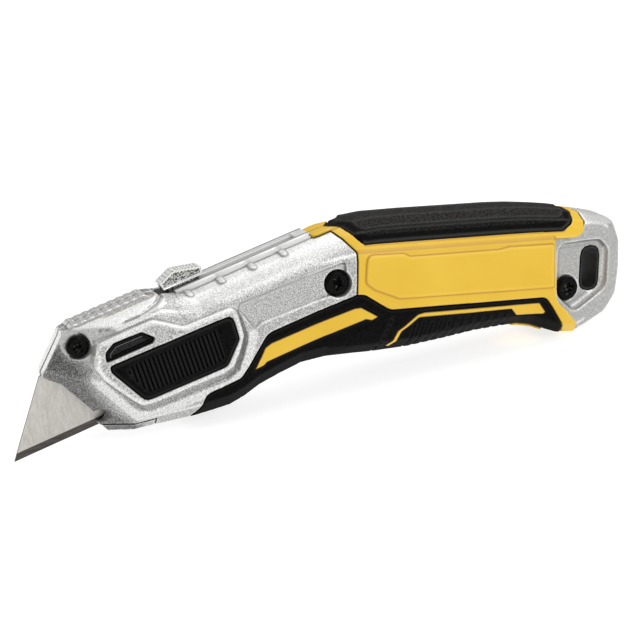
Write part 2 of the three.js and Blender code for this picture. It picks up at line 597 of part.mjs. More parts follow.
// Trapezium blade: ground on both faces along the edge, with two notches in its back.
function bladeBody() {
  const flat = [[blade.tipX, blade.edgeZ], [blade.backX, blade.edgeZ],
    [blade.backX - endRun, blade.topZ], [blade.tipX + endRun, blade.topZ]];
  const sheet = prism(flat, 'side', -blade.halfThickness, blade.halfThickness);
  const grinds = [-1, 1].map((way) => beyond(
    new THREE.Vector3(0, way * blade.halfThickness, blade.edgeZ + blade.grind),
    new THREE.Vector3(0, way * blade.grind, 0.02 - blade.halfThickness).normalize(),
  ));
  const cuts = [-1, 1].map((way) => {
    const u = blade.tipX + blade.length / 2 + way * blade.notchSpacing / 2;
    return mirroredBox([u - blade.notchWidth / 2, u + blade.notchWidth / 2], 1,
      [blade.topZ - blade.notchDepth, blade.topZ + 1]);
  });
  return cut(sheet, ...grinds, ...cuts);
}
const freshBlade = bladeBody();
place('blade_system', 'blade', freshBlade, bladeSteel);

// Leaf that presses the blade to the carrier: folded over under the top bar, with a dimple.
const leafFace = -blade.halfThickness - running - 0.6;
const dimple = new THREE.CylinderGeometry(1.5, 2, 0.3, 16).translate(16, leafFace + 0.15, blade.edgeZ + 9);
place('blade_system', 'blade_catch', join(
  box([blade.backX - 24, blade.backX - 5], [leafFace - 0.5, leafFace], [blade.edgeZ + 4, carrier.foot]),
  solid(dimple),
), springSteel);

const leaf = [[9, carrier.top], [18, carrier.top], [21.5, carrier.top + 0.4], [24.2, carrier.top + 0.65],
  [26, carrier.top + 0.4], [26, carrier.top + 0.75], [24.2, carrier.top + 1], [21.3, carrier.top + 0.75],
  [17.8, carrier.top + 0.35], [9, carrier.top + 0.35]];
place('blade_system', 'detent_spring', prism(leaf, 'side', -2, 2), springSteel);

// ---------------------------------------------------------------- handle shells

const sidePanel = [[8, -0.4, 2], [8.4, 7, 2], [19.2, 6.8, 1], [21, 5.9, 1], [48.5, 5.9, 1], [51.4, 6.4, 1],
  [65.6, 6.3, 0.5], [66.2, -6, 0.5], [18.2, -5.4, 2], [10.7, -2.4, 2]].map(fromHandle);
const padPlan = [[0.9, 0, 2], [3.8, -4, 5], [6.1, -8.4, 3], [8, -10.4, 3], [69.6, -10.4, 3],
  [73.6, -8.4, 3], [74.8, -4, 3], [74.8, 4, 3], [73.6, 8.4, 3], [69.6, 10.4, 3], [8, 10.4, 3],
  [6.1, 8.4, 3], [3.8, 4, 5]];
const padPrism = (corners) => moved(prism(corners, 'plan', topPad.foot, 30), handleToFront);
const padBed = cut(padPrism(inset(padPlan, -seam)), skin(-topPad.thickness - 0.2));
const tongueBody = common(tonguePrism(0), prism([[-10, 5], [-10, 10.5], [tongue.from, 11.7],
  [-0.4, 13.2, 2], [4, 13.9, 2], [8, 14.2], [10, 14.4], [10, 5]].map(fromHandle), 'side', -10, 10));
const shellCore = common(skin(), prism(shellRegion, 'side', -30, 30));
const linerTongue = [[62, -4], [62, 5], [70, 5], [70, -4]].map(fromHandle);
const creaseCut = cut(prism([[5, crease.z - crease.width / 2], [66.3, crease.z - crease.width / 2],
  [66.3, crease.z + crease.width / 2], [5, crease.z + crease.width / 2]].map(fromHandle), 'side', -30, 0),
  skin(-crease.depth));
const handleShell = cut(
  common(join(shellCore, tongueBody, prism(sidePanel, 'side', -side.sidePanel, -10, 0.3)), leftHalf),
  trackPocket, padBed, magazineHollow, creaseCut, underTab(running, tab.halfWidth + running),
  prism(inset(linerTongue, -seam), 'side', -tail.linerHalf - seam, 0),
);
pair('handle', 'handle_shell', handleShell, yellowShell);

place('handle', 'top_grip', cut(
  join(
    common(padPrism(padPlan), skin()),
    common(padPrism(inset(padPlan, topPad.border)), skin(topPad.raise)),
  ),
  skin(-topPad.thickness),
), blackRubber);

// ---------------------------------------------------------------- lower grips and their accents

const frontAccent = [[39.9, 5.1], [42.3, 7.8, 0.5], [44.4, 10, 2], [46.5, 10.5, 1], [71.3, 10.1, 1],
  [73.2, 9.6, 1], [77.2, 5, 0.2], [74.9, 4.8, 0.3], [73.4, 5.8, 0.3], [43.9, 5.8, 0.3], [42.7, 5.2, 0.3]];
const rearAccent = [[15.6, -19.2], [17.2, -17.2], [18.1, -14.6, 1], [23.8, -10.3, 1.5], [25.8, -9.9],
  [61.9, -10.1, 0.5], [64.5, -13.2, 0.5], [63.8, -13.8, 0.3], [55.3, -13.6, 0.5], [53.2, -11.4, 0.5],
  [24.3, -11.3, 1.5], [19.4, -14.9, 1], [18.4, -17.8], [16.9, -19.6]].map(fromHandle);
const accents = { front: frontAccent, rear: rearAccent };

const [hingeX, hingeZ] = fromHandle([hinge.x, hinge.z]);
const boreHalf = hinge.pinHalf + seam;
const hingeBore = rod(hingeX, hingeZ, hinge.pinRadius + seam, -boreHalf, boreHalf);
const gripGrooves = [];
for (let i = 0; i < groove.count; i++) {
  const x = 21.5 + i * groove.pitch;
  gripGrooves.push(prism([[x, -24], [x + groove.width, -24], [x + groove.width + 1.6, -12.6],
    [x + 1.6, -12.6]]
    .map(fromHandle), 'side', -20, 20));
}
const gripJoint = prism([[11.4, -24], [11.4 + groove.width, -24], [16 + groove.width, -10.4], [16, -10.4]]
  .map(fromHandle), 'side', -20, 20);

const lowerGrip = cut(
  common(skin(), prism(rubberRegion, 'side', -30, 30), leftHalf),
  carrierHollow, bladeSlot, magazineHollow, hingeBore, underTab(running, tab.halfWidth + running),
  cut(join(...gripGrooves, gripJoint), skin(-groove.depth)),
  ...Object.values(accents).map((corners) =>
    cut(prism(inset(corners, -0.1), 'side', -30, 0), skin(-accent.thickness))),
);
pair('handle', 'lower_grip', lowerGrip, blackRubber);
for (const [where, corners] of Object.entries(accents)) {
  pair('handle', `${where}_accent`, common(layer(corners, accent.proud, 0.1 - accent.thickness),
    leftHalf), yellowShell);
}

// ---------------------------------------------------------------- blade magazine in the handle

const trayOutline = [[magazine.from, -21.3, 2.4], [magazine.to, -26], [magazine.to, -19, 0.3],
  [magazine.to - 3.2, magazine.top], [magazine.from + 0.8, magazine.top],
  [magazine.from, -15]].map(fromHandle);
const spareSlot = prism([[0, magazine.floor], [90, magazine.floor], [90, 10], [0, 10]].map(fromHandle),
  'side', -magazine.slotHalf, magazine.slotHalf);
place('magazine', 'magazine_tray', cut(
  common(prism(trayOutline, 'side', -magazine.halfWidth, magazine.halfWidth), skin(-0.05)),
  spareSlot,
  hingeBore,
  underTab(0.1, 20),
), blackPlastic);
place('magazine', 'magazine_tab', prism(tabOutline, 'side', -tab.halfWidth, tab.halfWidth), yellowShell);
place('magazine', 'magazine_hinge_pin',
  rod(hingeX, hingeZ, hinge.pinRadius, -hinge.pinHalf, hinge.pinHalf, 16), springSteel);

const spareLift = new THREE.Matrix4()
  .makeTranslation(magazine.spareX - blade.tipX, 0, magazine.spareZ - blade.edgeZ);
for (let i = 0; i < magazine.spareCount; i++) {
  const y = (i - (magazine.spareCount - 1) / 2) * magazine.sparePitch;
  const lift = new THREE.Matrix4().makeTranslation(0, y, 0).multiply(handleToFront).multiply(spareLift);
  place('magazine', `spare_blade_${i + 1}`, moved(freshBlade, lift), bladeSteel);
}

// ---------------------------------------------------------------- butt castings

// Narrows a solid towards the butt's end.
function tapered(body) {
  const geometry = geometryOf(body);
  const position = geometry.attributes.position;
  for (let i = 0; i < position.count; i++) {
    const x = new THREE.Vector3().fromBufferAttribute(position, i).applyMatrix4(frontToHandle).x;
    const scale = 1 - tail.taper * Math.max(x - 67, 0);
    position.setY(i, position.getY(i) * scale);
  }
  return solid(geometry);
}

const slotOutline = (grow) => {
  const across = lanyardSlot.width / 2 + grow;
  const up = lanyardSlot.height / 2 + grow;
  return [[-across, -up], [across, -up], [across, up], [-across, up]]
    .map(([x, z]) => fromHandle([lanyardSlot.x + x, lanyardSlot.z + z, across]));
};
const recessOutline = [[69, 5.4, 3], [83.2, 6, 3], [86.2, 3, 3], [86.2, -8.2, 4], [75.5, -15, 3],
  [69.4, -9.4, 3]]
  .map(fromHandle);
const linerCore = [[70, -9], [69.2, 5], [75.2, 5.2], [79.3, 9.2, 1], [81, 11.2, 1], [83.2, 11.1, 3],
  [86.8, 9, 3], [88.5, 4.6, 3], [88.9, -3, 4], [88.2, -9.8, 3], [85.4, -14.2, 3], [79.6, -17, 1],
  [77, -15.6]].map(fromHandle);
const tailBody = common(
  skin(),
  tapered(prism(tailOutline, 'side', -tail.halfWidth, tail.halfWidth, tail.rounding)),
  prism(tailRegion, 'side', -30, 30),
);
const tailFrame = cut(
  common(tailBody, leftHalf),
  prism(recessOutline, 'side', -30, -tail.recessFloor, tail.recessSlope),
  prism(inset(linerCore, -seam), 'side', -tail.linerHalf - seam, 0),
  prism(inset(linerTongue, -seam), 'side', -tail.linerHalf - seam, 0),
  prism(slotOutline(lanyardSlot.wall + 0.15), 'side', -30, 0),
  magazineHollow,
);
const tailShank = shankRoom(tailScrewPlaced);
place('butt', 'tail_frame_left', cut(tailFrame, tailShank, headRoom(tailScrewPlaced)), castMetal);
place('butt', 'tail_frame_right', cut(mirrored(tailFrame), tailShank), castMetal);
place('butt', 'tail_liner', cut(
  join(
    prism(linerCore, 'side', -tail.linerHalf, tail.linerHalf),
    prism(linerTongue, 'side', -tail.linerHalf, tail.linerHalf),
    prism(slotOutline(lanyardSlot.wall), 'side', -tail.recessFloor, tail.recessFloor),
  ),
  prism(slotOutline(0), 'side', -30, 30),
  rod(tailScrewX, tailScrewZ, tailScrew.shankRadius + seam, -20, 20),
  magazineHollow,
), blackPlastic);

// ---------------------------------------------------------------- standing pose

knife.rotation.y = -rad(noseTilt);
knife.updateMatrixWorld(true);
const bounds = new THREE.Box3().setFromObject(knife, true);
const centre = bounds.getCenter(new THREE.Vector3());
knife.position.set(-centre.x, -centre.y, -bounds.min.z);

export default knife;
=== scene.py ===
import json
from math import atan2, radians

import bmesh
import bpy
from mathutils import Matrix, Vector
from mathutils.bvhtree import BVHTree
from mathutils.kdtree import KDTree


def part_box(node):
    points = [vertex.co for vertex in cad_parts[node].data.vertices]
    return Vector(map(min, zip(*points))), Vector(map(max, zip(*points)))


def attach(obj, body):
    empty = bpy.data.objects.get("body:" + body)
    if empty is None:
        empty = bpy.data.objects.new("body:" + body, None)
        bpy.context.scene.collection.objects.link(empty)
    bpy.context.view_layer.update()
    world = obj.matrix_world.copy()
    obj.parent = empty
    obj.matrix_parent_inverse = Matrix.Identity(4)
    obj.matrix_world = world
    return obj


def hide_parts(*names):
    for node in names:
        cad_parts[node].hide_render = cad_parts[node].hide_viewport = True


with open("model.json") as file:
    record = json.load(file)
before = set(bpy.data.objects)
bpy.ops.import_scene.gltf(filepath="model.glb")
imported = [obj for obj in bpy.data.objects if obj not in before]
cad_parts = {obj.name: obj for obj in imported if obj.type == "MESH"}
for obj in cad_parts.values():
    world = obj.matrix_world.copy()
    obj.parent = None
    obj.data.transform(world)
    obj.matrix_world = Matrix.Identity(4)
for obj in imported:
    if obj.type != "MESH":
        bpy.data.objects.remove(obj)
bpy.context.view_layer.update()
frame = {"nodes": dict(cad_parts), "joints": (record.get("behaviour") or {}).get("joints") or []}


# ---------------------------------------------------------------- camera, floor and light

# The knife stands on its blade's tip and its heel, on a white table top. The camera looks at its left side
# from a little above the nose, and leans so that the knife climbs to the right.
camera = bpy.data.objects.new("camera", bpy.data.cameras.new("camera"))
bpy.context.collection.objects.link(camera)
camera.location = (-0.176112, -0.445490, 0.165932)
camera.rotation_euler = (radians(72.8916), radians(6.3582), radians(-23.2523))
camera.data.sensor_width = 36
camera.data.lens = 102.66
camera.data.shift_x = 0.00625
camera.data.shift_y = -0.003125
camera.data.clip_start = 0.01
bpy.context.scene.camera = camera

shape = bmesh.new()
bmesh.ops.create_grid(shape, x_segments=1, y_segments=1, size=3)
floor = bpy.data.objects.new("table_top", bpy.data.meshes.new("table_top"))
shape.to_mesh(floor.data)
shape.free()
bpy.context.collection.objects.link(floor)
paper = bpy.data.materials.new("white_paper")
paper.use_nodes = True
shader = paper.node_tree.nodes["Principled BSDF"]
shader.inputs["Base Color"].default_value = (0.4, 0.4, 0.4, 1)
shader.inputs["Roughness"].default_value = 0.9
shader.inputs["Specular IOR Level"].default_value = 0.1
shader.inputs["Emission Color"].default_value = (1, 1, 1, 1)
shader.inputs["Emission Strength"].default_value = 0.78
floor.data.materials.append(paper)


def softbox(name, place, aim, size, watts):
    """A rectangular lamp at one place, turned to face another."""
    lamp = bpy.data.lights.new(name, "AREA")
    lamp.shape = "RECTANGLE"
    lamp.size, lamp.size_y = size
    lamp.energy = watts
    held = bpy.data.objects.new(name, lamp)
    held.location = place
    held.rotation_euler = (Vector(aim) - Vector(place)).to_track_quat("-Z", "Y").to_euler()
    held.visible_camera = False
    bpy.context.collection.objects.link(held)


softbox("top_softbox", (0.25, 0.10, 0.80), (0, 0, 0), (0.9, 0.6), 2.8)
softbox("front_softbox", (0.42, -0.80, 0.50), (0, 0, 0.02), (0.5, 0.4), 3.2)
softbox("back_softbox", (-0.66, 1.05, 0.28), (0, 0, 0.02), (0.9, 0.5), 2.2)

# The room is darker low down and brighter overhead.
room = bpy.data.worlds.new("studio")
room.use_nodes = True
tree = room.node_tree
way = tree.nodes.new("ShaderNodeTexCoord")
height = tree.nodes.new("ShaderNodeSeparateXYZ")
fade = tree.nodes.new("ShaderNodeMapRange")
fade.inputs["From Min"].default_value = 0.05
fade.inputs["From Max"].default_value = 0.7
fade.inputs["To Min"].default_value = 0.15
fade.inputs["To Max"].default_value = 0.65
tree.links.new(way.outputs["Generated"], height.inputs["Vector"])
tree.links.new(height.outputs["Z"], fade.inputs["Value"])
tree.links.new(fade.outputs["Result"], tree.nodes["Background"].inputs["Strength"])
tree.nodes["Background"].inputs["Color"].default_value = (1, 1, 1, 1)
bpy.context.scene.world = room
bpy.context.scene.view_settings.view_transform = "Standard"


# ---------------------------------------------------------------- cast nose and butt

# The nose and the butt frame are zinc die castings, each in two halves that meet in the middle, tumbled and
# sprayed with a clear sparkle lacquer. A die leaves every edge rounded and every broad face slightly crowned.
# Handling polishes the outer edges, which also get painted highlights, as do the turn behind the front facet
# and the shoulder. Painted shade lies on the front facet, on the up-facing crests of the thumb rest, in the
# grooves and the channel round the grip insert, and where other parts come near.
MM = 0.001
handle_bend = radians(19)
slide = next(joint for joint in frame["joints"] if joint["name"] == "blade_slide")
slide_way = Vector(slide["axis"])
up_way = Vector((-slide_way.z, 0, slide_way.x))
nose_lie = atan2(slide_way.z, slide_way.x)
handle_lie = nose_lie - handle_bend
crease_angle = radians(28)
mark_angle = radians(20)

# Where a face starts to keep flat or to be crowned, away from a crease, and where it does so in full (mm).
flat_reach = (0.35, 0.65)
crown_reach = (0.4, 2.0)

# Where a mark starts beside an outer edge, an inner corner or a neighbour, and where it is full (mm). A
# neighbour further off than the search isn't looked for.
polish_and_highlight_reach = (0.66, 0.11)
groove_reach = (0.54, 0.09)
gap_shade_reach = (0.48, 0.28)
joint_search = 0.7


def ramp(value, start, full):
    """Climbs from 0 where a value is at its start to 1 where it is full, and stays between them."""
    return min(1, max(0, (value - start) / (full - start)))


def merged(node):
    """A mesh of a solid's own, with its loose triangles joined up."""
    shape = bmesh.new()
    shape.from_mesh(frame["nodes"][node].data)
    bmesh.ops.remove_doubles(shape, verts=shape.verts, dist=0.002 * MM)
    return shape


def flows(edge):
    """True on the soft edges between the sloping facets at the front of the nose."""
    normals = [face.normal for face in edge.link_faces]
    sideways = min(abs(normal.y) for normal in normals) > 0.5
    forwards = min(normal.dot(slide_way) for normal in normals) < -0.25
    return sideways and forwards


def crease(edge):
    """True on an edge that the die rounds."""
    return edge.calc_face_angle(0) > crease_angle and not flows(edge)


def polish_and_highlight(edge):
    """True on an outer edge that hands can polish, and where a highlight is painted."""
    return edge.is_convex and edge.calc_face_angle(0) > mark_angle and not flows(edge)


def groove(edge):
    """True on an inner corner, where shade is painted."""
    return not edge.is_convex and edge.calc_face_angle(0) > mark_angle


def marks_along(shape, wanted, step):
    """A search tree of points along the edges that are wanted, after one far point for a mesh with none."""
    marks = [Vector((1, 1, 1))]
    for edge in shape.edges:
        if len(edge.link_faces) == 2 and wanted(edge):
            start, end = edge.verts[0].co, edge.verts[1].co
            steps = max(1, int((end - start).length / (step * MM)))
            marks += [start.lerp(end, part / steps) for part in range(steps + 1)]
    tree = KDTree(len(marks))
    for number, mark in enumerate(marks):
        tree.insert(mark, number)
    tree.balance()
    return tree


def nearby(node):
    """The surfaces of all the other solids but the screws, to find how close they come."""
    corners, faces = [], []
    for name, other in frame["nodes"].items():
        if name != node and "screw" not in name:
            first = len(corners)
            corners += [vertex.co.copy() for vertex in other.data.vertices]
            faces += [[first + corner for corner in face.vertices] for face in other.data.polygons]
    return BVHTree.FromPolygons(corners, faces)


def settle(piece):
    """Makes the result of a piece's modifiers its mesh."""
    seen = piece.evaluated_get(bpy.context.evaluated_depsgraph_get())
    mesh = bpy.data.meshes.new_from_object(seen)
    piece.modifiers.clear()
    piece.data = mesh


def layer_of(piece, layer):
    """The marks of one layer, a number for each point of a piece."""
    return [mark.value for mark in piece.data.attributes[layer].data]


def lay(piece, layer, marks):
    """Gives a piece a layer of marks, or puts them in the place of the ones it has."""
    held = piece.data.attributes.get(layer) or piece.data.attributes.new(layer, "FLOAT", "POINT")
    held.data.foreach_set("value", marks)


def softened(node, name, lie, grain, rounding, crown):
    """A copy of a solid with rounded creases and crowned faces, and layers of marks: polish with painted
    highlights by outer edges, painted shade by inner corners, and painted shade where other parts come near.

    Its skin is made anew in even grains (mm) that line up with the piece's lie. Then the creases are smoothed
    for some rounds, the flats are drawn back to the solid, and the broad faces are smoothed for some more.
    """
    shape = merged(node)
    creases = marks_along(shape, crease, 0.4)
    polish_and_highlight_marks = marks_along(shape, polish_and_highlight, 0.2)
    grooves = marks_along(shape, groove, 0.2)
    piece = bpy.data.objects.new(name, bpy.data.meshes.new(name))
    shape.to_mesh(piece.data)
    shape.free()
    solid = bpy.data.objects.new("solid", piece.data.copy())
    bpy.context.collection.objects.link(piece)
    bpy.context.collection.objects.link(solid)

    piece.data.transform(Matrix.Rotation(lie, 4, "Y"))
    skin = piece.modifiers.new("skin", "REMESH")
    skin.mode = "VOXEL"
    skin.voxel_size = grain * MM
    settle(piece)
    piece.data.transform(Matrix.Rotation(-lie, 4, "Y"))

    flat = piece.vertex_groups.new(name="flat")
    broad = piece.vertex_groups.new(name="broad")
    for vertex in piece.data.vertices:
        away = creases.find(vertex.co)[2] / MM
        flat.add([vertex.index], ramp(away, *flat_reach), "REPLACE")
        broad.add([vertex.index], ramp(away, *crown_reach), "REPLACE")
    edges = piece.modifiers.new("edges", "SMOOTH")
    edges.iterations = rounding
    flats = piece.modifiers.new("flats", "SHRINKWRAP")
    flats.target = solid
    flats.vertex_group = "flat"
    crowned = piece.modifiers.new("crown", "SMOOTH")
    crowned.iterations = crown
    crowned.vertex_group = "broad"
    settle(piece)
    piece.vertex_groups.clear()
    bpy.data.objects.remove(solid)

    others = nearby(node)
    places = [vertex.co for vertex in piece.data.vertices]
    gaps = [others.find_nearest(place, joint_search * MM)[3] for place in places]
    # Polish with painted highlights by outer edges, painted shade by inner corners, and painted shade where
    # another part comes near.
    lay(piece, "polish_and_highlight", [ramp(polish_and_highlight_marks.find(place)[2] / MM, *polish_and_highlight_reach) for place in places])
    lay(piece, "groove", [ramp(grooves.find(place)[2] / MM, *groove_reach) for place in places])
    lay(piece, "joint", [0 if gap is None else ramp(gap / MM, *gap_shade_reach) for gap in gaps])
    piece.data.shade_smooth()
    return piece


def stand_for(piece, node, body, finish):
    """Puts a finished piece in a solid's place, with its material and the body that it moves with."""
    piece.data.materials.clear()
    piece.data.materials.append(finish)
    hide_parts(node)
    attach(piece, body)


def opaque(colour):
    """A colour that hides what is behind it; a single number is a plain grey."""
    return (*colour, 1) if isinstance(colour, tuple) else (colour, colour, colour, 1)


def surface(name, colour, roughness, metallic=0.0, specular=0.5):
    """A new material, with its node tree and its shader."""
    made = bpy.data.materials.new(name)
    made.use_nodes = True
    shader = made.node_tree.nodes["Principled BSDF"]
    shader.inputs["Base Color"].default_value = opaque(colour)
    shader.inputs["Roughness"].default_value = roughness
    shader.inputs["Metallic"].default_value = metallic
    shader.inputs["Specular IOR Level"].default_value = specular
    return made, made.node_tree, shader


def speckle(tree, scale, detail=2.0, rough=0.5, stretch=(1, 1, 1)):
    """Noise on the piece's own coordinates, in grains per metre."""
    place = tree.nodes.new("ShaderNodeTexCoord")
    turn = tree.nodes.new("ShaderNodeMapping")
    turn.inputs["Scale"].default_value = stretch
    noise = tree.nodes.new("ShaderNodeTexNoise")
    noise.inputs["Scale"].default_value = scale
    noise.inputs["Detail"].default_value = detail
    noise.inputs["Roughness"].default_value = rough
    tree.links.new(place.outputs["Object"], turn.inputs["Vector"])
    tree.links.new(turn.outputs["Vector"], noise.inputs["Vector"])
    return noise.outputs["Fac"]


def graded(tree, value, stops):
    """The colour that a value gets from two or more (place, colour) stops."""
    bands = tree.nodes.new("ShaderNodeValToRGB")
    first, last = bands.color_ramp.elements
    first.position = stops[0][0]
    first.color = opaque(stops[0][1])
    last.position = stops[-1][0]
    last.color = opaque(stops[-1][1])
    for place, colour in stops[1:-1]:
        bands.color_ramp.elements.new(place).color = opaque(colour)
    tree.links.new(value, bands.inputs["Fac"])
    return bands.outputs["Color"]


def washed(tree, colour, layer, tint, strength=1.0, blend="MIX"):
    """Lays a tint, or the colour of another socket, over a colour where a layer of the mesh is marked."""
    where = tree.nodes.new("ShaderNodeAttribute")
    where.attribute_name = layer
    amount = tree.nodes.new("ShaderNodeMath")
    amount.operation = "MULTIPLY"
    amount.inputs[1].default_value = strength
    mix = tree.nodes.new("ShaderNodeMixRGB")
    mix.blend_type = blend
    if isinstance(tint, bpy.types.NodeSocket):
        tree.links.new(tint, mix.inputs["Color2"])
    else:
        mix.inputs["Color2"].default_value = opaque(tint)
    tree.links.new(where.outputs["Fac"], amount.inputs[0])
    tree.links.new(amount.outputs["Value"], mix.inputs["Fac"])
    tree.links.new(colour, mix.inputs["Color1"])
    return mix.outputs["Color"]


def grain_bump(tree, shader, value, height, strength):
    """Raises the surface by a value, up to a height in metres."""
    bump = tree.nodes.new("ShaderNodeBump")
    bump.inputs["Strength"].default_value = strength
    bump.inputs["Distance"].default_value = height
    tree.links.new(value, bump.inputs["Height"])
    tree.links.new(bump.outputs["Normal"], shader.inputs["Normal"])


casting, tree, shader = surface("sparkle_casting", (0.62, 0.62, 0.60), 0.46, metallic=0.7)
flakes = speckle(tree, 3200, detail=3, rough=0.75)
lacquer = [(0.40, (0.21, 0.21, 0.205)), (0.5, (0.46, 0.46, 0.45)), (0.60, (0.74, 0.74, 0.73))]
shaded_lacquer = [(0.40, 0.045), (0.5, (0.15, 0.15, 0.147)), (0.60, (0.40, 0.40, 0.39))]
polished_and_lit_lacquer = [(0.36, (0.60, 0.60, 0.59)), (0.5, (0.86, 0.86, 0.845)), (0.62, (1.0, 1.0, 0.98))]
colour = graded(tree, flakes, lacquer)
# Painted shade on the front facet: darker flakes.
colour = washed(tree, colour, "bare", graded(tree, flakes, shaded_lacquer))
colour = washed(tree, colour, "satin", (0.38, 0.38, 0.37), 0.5)
# Painted shade on the up-facing crests of the thumb rest.
colour = washed(tree, colour, "crown", (0.84, 0.80, 0.78), 1.0, "MULTIPLY")
# Polish and painted highlights: a brighter lacquer by outer edges, on lit turns and on the shoulder.
colour = washed(tree, colour, "polish_and_highlight", graded(tree, flakes, polished_and_lit_lacquer), 0.8)
# Painted shade in inner corners, on the channel's bed and in the eye.
colour = washed(tree, colour, "groove", 0.3, 0.9, "MULTIPLY")
# Painted shade where another part comes near.
colour = washed(tree, colour, "joint", 0.03, 1.0, "MULTIPLY")
tree.links.new(colour, shader.inputs["Base Color"])
grain_bump(tree, shader, speckle(tree, 2800), 0.06 * MM, 0.4)


def middle_of(node):
    """The middle of a solid's box."""
    low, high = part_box(node)
    return (low + high) / 2


def from_axis(point, axis):
    """The way to a point from a crosswise axis, square to that axis."""
    away = point - axis
    away.y = 0
    return away


# Places on the nose are in millimetres: along it, the way that the blade slides, and up, square to that.
screw_middle = middle_of("nose_screw")
screw_at = (-1.4, 29.55)

# The channel goes down before the grip insert, below it and up behind it. Each point of its middle line has
# half its width there. It is deepest near its outer side, and shallower where it is narrow.
channel = [
    (1.3, 26.4, 0.15), (-0.1, 23.9, 0.15), (0.8, 20.4, 0.2), (2.6, 17.0, 0.3), (5.4, 11.9, 0.6),
    (7.7, 8.8, 1.0), (10.5, 7.7, 1.25), (20.0, 7.4, 1.3), (32.0, 7.1, 1.3), (35.2, 8.0, 1.2),
    (37.6, 10.8, 1.05), (39.5, 13.5, 0.95), (40.6, 15.6, 0.8), (40.8, 19.0, 0.5), (40.7, 22.6, 0.25),
]
channel_depth = 1.1
channel_outer_depth = 0.5
deepest_at = 0.78
narrow = 0.9
pad_level = 12.1
flank_level = 9.5

# The painted shade of the front facet ends at this border, from its foot up: height, and place along the
# nose.
facet_border = [(3.4, 7.4), (5.2, 5.1), (8.9, 2.0), (17.2, -1.4), (24.9, -2.4), (27.7, -4.6), (33.8, -5.4)]


def nose_place(point):
    """A point's place along the nose and its height there."""
    away = (point - screw_middle) / MM
    return away.dot(slide_way) + screw_at[0], away.dot(up_way) + screw_at[1]


def across_channel(along, rise):
    """Where a point lies across the channel, from 0 at its inner side to 1 at its outer one.

    With it come half the channel's width there, and how steeply the channel climbs.
    """
    nearest = None
    for (x0, z0, half0), (x1, z1, half1) in zip(channel, channel[1:]):
        length = Vector((x1 - x0, z1 - z0)).length
        way = Vector((x1 - x0, z1 - z0)) / length
        away = Vector((along - x0, rise - z0))
        part = min(length, max(0, away.dot(way)))
        gap = (away - way * part).length
        if nearest is None or gap < nearest[0]:
            half = half0 + (half1 - half0) * part / length
            outward = away.dot(Vector((way.y, -way.x)))
            nearest = gap, 0.5 + (gap if outward > 0 else -gap) / (2 * half), half, way.y
    return nearest[1:]


def border_at(rise):
    """How far along the nose the dark front facet ends, at a height."""
    for (low_rise, low_along), (high_rise, high_along) in zip(facet_border, facet_border[1:]):
        if rise < high_rise:
            break
    return low_along + (high_along - low_along) * ramp(rise, low_rise, high_rise)


def sink_channel(vertex, along, rise, marks):
    """Sinks the channel into the pad, paints shade on its bed, more where it climbs, and paints highlights on
    the land on both sides of it.
    """
    out = abs(vertex.co.y) / MM
    if out <= flank_level or not -4 < along < 45 or not 2 < rise < 27:
        return
    where, half, climb = across_channel(along, rise)
    beside = (abs(where - 0.5) - 0.5) * 2 * half
    if where < 0:
        marks["polish_and_highlight"] = max(marks["polish_and_highlight"], ramp(beside, 0, 0.2) * ramp(beside, 1.2, 0.8))
    elif where <= 1:
        drop = channel_depth * where / deepest_at
        if where >= deepest_at:
            drop = channel_depth - (channel_depth - channel_outer_depth) * ramp(where, deepest_at, 1)
        level = pad_level - drop * min(1, half / narrow)
        vertex.co.y = min(out, level) * MM * (1 if vertex.co.y > 0 else -1)
        bed = 0.42 + 0.58 * max(0, climb)
        marks["groove"] = max(marks["groove"], bed * ramp(where, 0, 0.15) * ramp(where, 1, 0.85))
        marks["polish_and_highlight"] *= ramp(where, 0.9, 1)
    elif along <= 38 or rise <= 16:
        marks["polish_and_highlight"] = max(marks["polish_and_highlight"], 0.8 * ramp(beside, 0, 0.3) * ramp(beside, 2.9, 2.2))


def shade_front(vertex, along, rise, marks):
    """Paints shade on the front facet, and paints highlights on the turn behind it and on the edge before it.
    """
    border = border_at(rise)
    sideways = abs(vertex.normal.y)
    slope = ramp(sideways, 0.985, 0.865) if sideways > 0.4 else 0
    steep = ramp(vertex.normal.z, 0.65, 0.35)
    marks["bare"] = slope * steep * ramp(along, border + 0.9, border - 1.9)
    marks["polish_and_highlight"] *= 1 - 0.85 * marks["bare"]
    turn_from = border + 0.8
    turn_to = 9 if rise > 29.8 else 2
    if 24 < rise < 33.5 and turn_from < along < turn_to:
        turn = ramp(along, turn_from, turn_from + 2) * ramp(along, turn_to, turn_to - 2)
        marks["polish_and_highlight"] = max(marks["polish_and_highlight"], 0.9 * turn)
    if sideways < 0.5 and vertex.normal.dot(slide_way) < -0.4 and along < 0:
        marks["polish_and_highlight"] = 0.9
    if along < 2.5 and 19 < rise < 29:
        marks["groove"] *= 0.25


rest_from, rest_to, rest_floor = -3, 23, 33.2
shoulder_from, shoulder_foot, shoulder_top = 26, 25.2, 31.4


def paint_top_light(vertex, along, rise, marks):
    """Paints shade on the up-facing crests of the thumb rest, and highlights on the edge below them and on
    the shoulder under the rails.
    """
    upright = vertex.normal.dot(up_way)
    if rise > rest_floor and rest_from < along < rest_to and upright > 0.8:
        marks["crown"] = 1.0
        marks["groove"] *= 0.6
    elif rise > rest_floor - 2 and along < rest_to + 1 and upright > 0.3:
        marks["polish_and_highlight"] = max(marks["polish_and_highlight"], 0.9)
    if along > 25 and rise > 25:
        foot = shoulder_foot + 1.6 * ramp(along, 40, 30)
        glow = ramp(rise, foot, foot + 1.6) * ramp(rise, shoulder_top, shoulder_top - 1.2)
        glow *= ramp(along, shoulder_from, shoulder_from + 5)
        marks["polish_and_highlight"] = max(0.3 * marks["polish_and_highlight"], 0.8 * glow)


